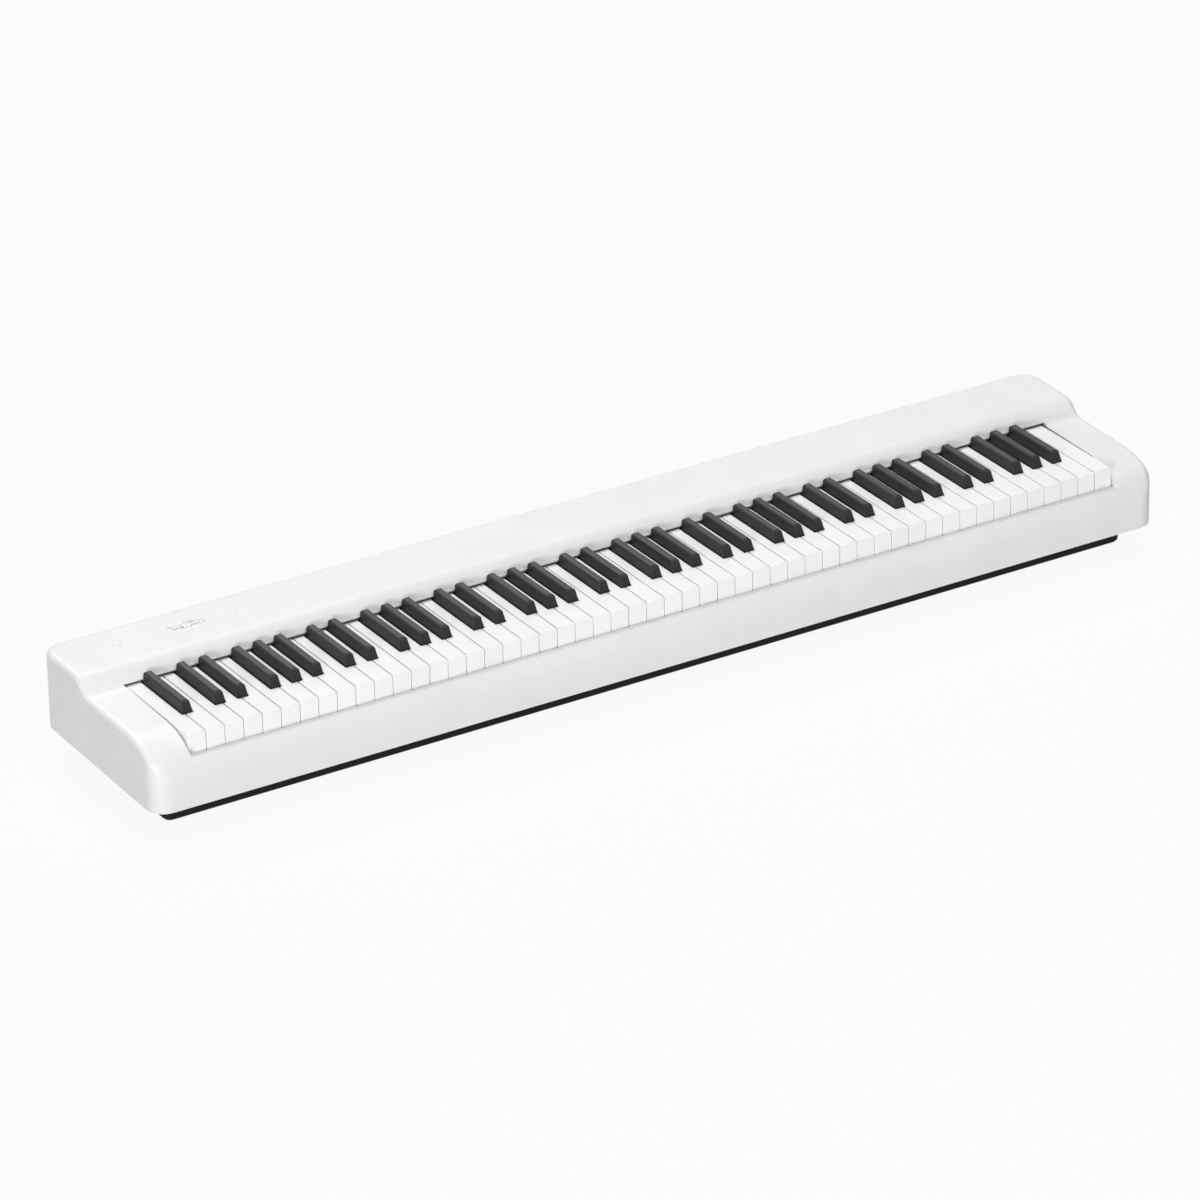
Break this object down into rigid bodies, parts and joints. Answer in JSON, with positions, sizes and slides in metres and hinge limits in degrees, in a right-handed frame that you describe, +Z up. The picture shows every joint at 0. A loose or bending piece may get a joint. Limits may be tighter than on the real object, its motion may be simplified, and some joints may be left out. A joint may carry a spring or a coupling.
{
  "type": "digital piano",
  "caption": "Slab digital piano: full-size keys over a coupled hammer action, in a white case with a sloped deck on a black base.",
  "frame": {"origin": "on the surface that the feet stand on, under the middle of the case", "axes": "+X along the keyboard from bass to treble, +Y away from the player, +Z up"},
  "size_m": [1.326, 0.268, 0.129],
  "materials": {
    "white_shell": "fine matt moulded plastic",
    "control_plastic": "satin moulded plastic",
    "black_base": "fine textured moulded plastic",
    "white_key": "semi-gloss key plastic",
    "black_key": "satin black key plastic",
    "dark_felt": "pressed wool felt",
    "steel": "drawn steel",
    "frame_plastic": "glass-filled plastic",
    "hammer_plastic": "moulded plastic with a weighted heel",
    "circuit_board": "coated laminate",
    "contact_rubber": "silicone rubber",
    "foot_rubber": "moulded rubber",
    "speaker_cone": "coated paper cone on a steel basket",
    "socket_plastic": "moulded plastic"
  },
  "bodies": {
    "case": {"upper_case": "white_shell", "lower_case": "black_base", "key_frame": "frame_plastic", "key_pivot_rod": "steel", "hammer_pivot_rod": "steel", "key_felt": "dark_felt", "front_stop_felt": "dark_felt", "hammer_rest_felt": "dark_felt", "contact_board": "circuit_board", "contact_rubber": "contact_rubber", "main_board": "circuit_board", "dc_inlet": "socket_plastic", "usb_socket": "steel", "pedal_jack": "socket_plastic", "phones_jack": "socket_plastic", "speaker_left": "speaker_cone", "speaker_right": "speaker_cone", "foot_front_left": "foot_rubber", "foot_front_right": "foot_rubber", "foot_rear_left": "foot_rubber", "foot_rear_right": "foot_rubber"},
    "key_c4": {"key_c4": "white_key"},
    "hammer_c4": {"hammer_c4": "hammer_plastic"},
    "key_c4_sharp": {"key_c4_sharp": "black_key"},
    "hammer_c4_sharp": {"hammer_c4_sharp": "hammer_plastic"},
    "key_d4": {"key_d4": "white_key"},
    "hammer_d4": {"hammer_d4": "hammer_plastic"},
    "key_d4_sharp": {"key_d4_sharp": "black_key"},
    "hammer_d4_sharp": {"hammer_d4_sharp": "hammer_plastic"},
    "key_e4": {"key_e4": "white_key"},
    "hammer_e4": {"hammer_e4": "hammer_plastic"},
    "key_f4": {"key_f4": "white_key"},
    "hammer_f4": {"hammer_f4": "hammer_plastic"},
    "key_f4_sharp": {"key_f4_sharp": "black_key"},
    "hammer_f4_sharp": {"hammer_f4_sharp": "hammer_plastic"},
    "key_g4": {"key_g4": "white_key"},
    "hammer_g4": {"hammer_g4": "hammer_plastic"},
    "key_g4_sharp": {"key_g4_sharp": "black_key"},
    "hammer_g4_sharp": {"hammer_g4_sharp": "hammer_plastic"},
    "key_a4": {"key_a4": "white_key"},
    "hammer_a4": {"hammer_a4": "hammer_plastic"},
    "key_a4_sharp": {"key_a4_sharp": "black_key"},
    "hammer_a4_sharp": {"hammer_a4_sharp": "hammer_plastic"},
    "key_b4": {"key_b4": "white_key"},
    "hammer_b4": {"hammer_b4": "hammer_plastic"},
    "keys_bass": {"white_keys_bass": "white_key", "black_keys_bass": "black_key"},
    "hammers_bass": {"hammers_bass": "hammer_plastic"},
    "keys_tenor": {"white_keys_tenor": "white_key", "black_keys_tenor": "black_key"},
    "hammers_tenor": {"hammers_tenor": "hammer_plastic"},
    "keys_treble": {"white_keys_treble": "white_key", "black_keys_treble": "black_key"},
    "hammers_treble": {"hammers_treble": "hammer_plastic"},
    "keys_top": {"white_keys_top": "white_key", "black_keys_top": "black_key"},
    "hammers_top": {"hammers_top": "hammer_plastic"},
    "power_button": {"power_button": "control_plastic"},
    "function_button": {"function_button": "control_plastic"},
    "volume_slider": {"volume_slider": "control_plastic"}
  },
  "joints": [
    {"name": "press_c4", "type": "hinge", "parent": "case", "child": "key_c4", "pos_m": [0, 0.096, 0.093], "axis": [1, 0, 0], "range_deg": [0, 2.72], "stiffness_Nm_per_rad": 0.5, "springref_deg": -17.19},
    {"name": "swing_c4", "type": "hinge", "parent": "case", "child": "hammer_c4", "pos_m": [0, 0.024, 0.058], "axis": [1, 0, 0], "range_deg": [0, 6.8]},
    {"name": "press_c4_sharp", "type": "hinge", "parent": "case", "child": "key_c4_sharp", "pos_m": [0, 0.096, 0.093], "axis": [1, 0, 0], "range_deg": [0, 2.72], "stiffness_Nm_per_rad": 0.5, "springref_deg": -17.19},
    {"name": "swing_c4_sharp", "type": "hinge", "parent": "case", "child": "hammer_c4_sharp", "pos_m": [0, 0.024, 0.058], "axis": [1, 0, 0], "range_deg": [0, 6.8]},
    {"name": "press_d4", "type": "hinge", "parent": "case", "child": "key_d4", "pos_m": [0, 0.096, 0.093], "axis": [1, 0, 0], "range_deg": [0, 2.72], "stiffness_Nm_per_rad": 0.5, "springref_deg": -17.19},
    {"name": "swing_d4", "type": "hinge", "parent": "case", "child": "hammer_d4", "pos_m": [0, 0.024, 0.058], "axis": [1, 0, 0], "range_deg": [0, 6.8]},
    {"name": "press_d4_sharp", "type": "hinge", "parent": "case", "child": "key_d4_sharp", "pos_m": [0, 0.096, 0.093], "axis": [1, 0, 0], "range_deg": [0, 2.72], "stiffness_Nm_per_rad": 0.5, "springref_deg": -17.19},
    {"name": "swing_d4_sharp", "type": "hinge", "parent": "case", "child": "hammer_d4_sharp", "pos_m": [0, 0.024, 0.058], "axis": [1, 0, 0], "range_deg": [0, 6.8]},
    {"name": "press_e4", "type": "hinge", "parent": "case", "child": "key_e4", "pos_m": [0, 0.096, 0.093], "axis": [1, 0, 0], "range_deg": [0, 2.72], "stiffness_Nm_per_rad": 0.5, "springref_deg": -17.19},
    {"name": "swing_e4", "type": "hinge", "parent": "case", "child": "hammer_e4", "pos_m": [0, 0.024, 0.058], "axis": [1, 0, 0], "range_deg": [0, 6.8]},
    {"name": "press_f4", "type": "hinge", "parent": "case", "child": "key_f4", "pos_m": [0, 0.096, 0.093], "axis": [1, 0, 0], "range_deg": [0, 2.72], "stiffness_Nm_per_rad": 0.5, "springref_deg": -17.19},
    {"name": "swing_f4", "type": "hinge", "parent": "case", "child": "hammer_f4", "pos_m": [0, 0.024, 0.058], "axis": [1, 0, 0], "range_deg": [0, 6.8]},
    {"name": "press_f4_sharp", "type": "hinge", "parent": "case", "child": "key_f4_sharp", "pos_m": [0, 0.096, 0.093], "axis": [1, 0, 0], "range_deg": [0, 2.72], "stiffness_Nm_per_rad": 0.5, "springref_deg": -17.19},
    {"name": "swing_f4_sharp", "type": "hinge", "parent": "case", "child": "hammer_f4_sharp", "pos_m": [0, 0.024, 0.058], "axis": [1, 0, 0], "range_deg": [0, 6.8]},
    {"name": "press_g4", "type": "hinge", "parent": "case", "child": "key_g4", "pos_m": [0, 0.096, 0.093], "axis": [1, 0, 0], "range_deg": [0, 2.72], "stiffness_Nm_per_rad": 0.5, "springref_deg": -17.19},
    {"name": "swing_g4", "type": "hinge", "parent": "case", "child": "hammer_g4", "pos_m": [0, 0.024, 0.058], "axis": [1, 0, 0], "range_deg": [0, 6.8]},
    {"name": "press_g4_sharp", "type": "hinge", "parent": "case", "child": "key_g4_sharp", "pos_m": [0, 0.096, 0.093], "axis": [1, 0, 0], "range_deg": [0, 2.72], "stiffness_Nm_per_rad": 0.5, "springref_deg": -17.19},
    {"name": "swing_g4_sharp", "type": "hinge", "parent": "case", "child": "hammer_g4_sharp", "pos_m": [0, 0.024, 0.058], "axis": [1, 0, 0], "range_deg": [0, 6.8]},
    {"name": "press_a4", "type": "hinge", "parent": "case", "child": "key_a4", "pos_m": [0, 0.096, 0.093], "axis": [1, 0, 0], "range_deg": [0, 2.72], "stiffness_Nm_per_rad": 0.5, "springref_deg": -17.19},
    {"name": "swing_a4", "type": "hinge", "parent": "case", "child": "hammer_a4", "pos_m": [0, 0.024, 0.058], "axis": [1, 0, 0], "range_deg": [0, 6.8]},
    {"name": "press_a4_sharp", "type": "hinge", "parent": "case", "child": "key_a4_sharp", "pos_m": [0, 0.096, 0.093], "axis": [1, 0, 0], "range_deg": [0, 2.72], "stiffness_Nm_per_rad": 0.5, "springref_deg": -17.19},
    {"name": "swing_a4_sharp", "type": "hinge", "parent": "case", "child": "hammer_a4_sharp", "pos_m": [0, 0.024, 0.058], "axis": [1, 0, 0], "range_deg": [0, 6.8]},
    {"name": "press_b4", "type": "hinge", "parent": "case", "child": "key_b4", "pos_m": [0, 0.096, 0.093], "axis": [1, 0, 0], "range_deg": [0, 2.72], "stiffness_Nm_per_rad": 0.5, "springref_deg": -17.19},
    {"name": "swing_b4", "type": "hinge", "parent": "case", "child": "hammer_b4", "pos_m": [0, 0.024, 0.058], "axis": [1, 0, 0], "range_deg": [0, 6.8]},
    {"name": "press_bass", "type": "hinge", "parent": "case", "child": "keys_bass", "pos_m": [0, 0.096, 0.093], "axis": [1, 0, 0], "range_deg": [0, 2.72], "stiffness_Nm_per_rad": 7.5, "springref_deg": -17.19},
    {"name": "swing_bass", "type": "hinge", "parent": "case", "child": "hammers_bass", "pos_m": [0, 0.024, 0.058], "axis": [1, 0, 0], "range_deg": [0, 6.8]},
    {"name": "press_tenor", "type": "hinge", "parent": "case", "child": "keys_tenor", "pos_m": [0, 0.096, 0.093], "axis": [1, 0, 0], "range_deg": [0, 2.72], "stiffness_Nm_per_rad": 12, "springref_deg": -17.19},
    {"name": "swing_tenor", "type": "hinge", "parent": "case", "child": "hammers_tenor", "pos_m": [0, 0.024, 0.058], "axis": [1, 0, 0], "range_deg": [0, 6.8]},
    {"name": "press_treble", "type": "hinge", "parent": "case", "child": "keys_treble", "pos_m": [0, 0.096, 0.093], "axis": [1, 0, 0], "range_deg": [0, 2.72], "stiffness_Nm_per_rad": 12, "springref_deg": -17.19},
    {"name": "swing_treble", "type": "hinge", "parent": "case", "child": "hammers_treble", "pos_m": [0, 0.024, 0.058], "axis": [1, 0, 0], "range_deg": [0, 6.8]},
    {"name": "press_top", "type": "hinge", "parent": "case", "child": "keys_top", "pos_m": [0, 0.096, 0.093], "axis": [1, 0, 0], "range_deg": [0, 2.72], "stiffness_Nm_per_rad": 6.5, "springref_deg": -17.19},
    {"name": "swing_top", "type": "hinge", "parent": "case", "child": "hammers_top", "pos_m": [0, 0.024, 0.058], "axis": [1, 0, 0], "range_deg": [0, 6.8]},
    {"name": "power_button_travel", "type": "slide", "parent": "case", "child": "power_button", "axis": [0, 0, -1], "range_m": [0, 0.001], "stiffness_N_per_m": 600, "springref_m": -0.0015},
    {"name": "function_button_travel", "type": "slide", "parent": "case", "child": "function_button", "axis": [0, 0, -1], "range_m": [0, 0.001], "stiffness_N_per_m": 600, "springref_m": -0.0015},
    {"name": "volume_slide", "type": "slide", "parent": "case", "child": "volume_slider", "axis": [1, 0, 0], "range_m": [-0.015, 0.015]}
  ],
  "couplings": [
    {"joint": "swing_c4", "follows": "press_c4", "ratio": 2.5},
    {"joint": "swing_c4_sharp", "follows": "press_c4_sharp", "ratio": 2.5},
    {"joint": "swing_d4", "follows": "press_d4", "ratio": 2.5},
    {"joint": "swing_d4_sharp", "follows": "press_d4_sharp", "ratio": 2.5},
    {"joint": "swing_e4", "follows": "press_e4", "ratio": 2.5},
    {"joint": "swing_f4", "follows": "press_f4", "ratio": 2.5},
    {"joint": "swing_f4_sharp", "follows": "press_f4_sharp", "ratio": 2.5},
    {"joint": "swing_g4", "follows": "press_g4", "ratio": 2.5},
    {"joint": "swing_g4_sharp", "follows": "press_g4_sharp", "ratio": 2.5},
    {"joint": "swing_a4", "follows": "press_a4", "ratio": 2.5},
    {"joint": "swing_a4_sharp", "follows": "press_a4_sharp", "ratio": 2.5},
    {"joint": "swing_b4", "follows": "press_b4", "ratio": 2.5},
    {"joint": "swing_bass", "follows": "press_bass", "ratio": 2.5},
    {"joint": "swing_tenor", "follows": "press_tenor", "ratio": 2.5},
    {"joint": "swing_treble", "follows": "press_treble", "ratio": 2.5},
    {"joint": "swing_top", "follows": "press_top", "ratio": 2.5}
  ]
}
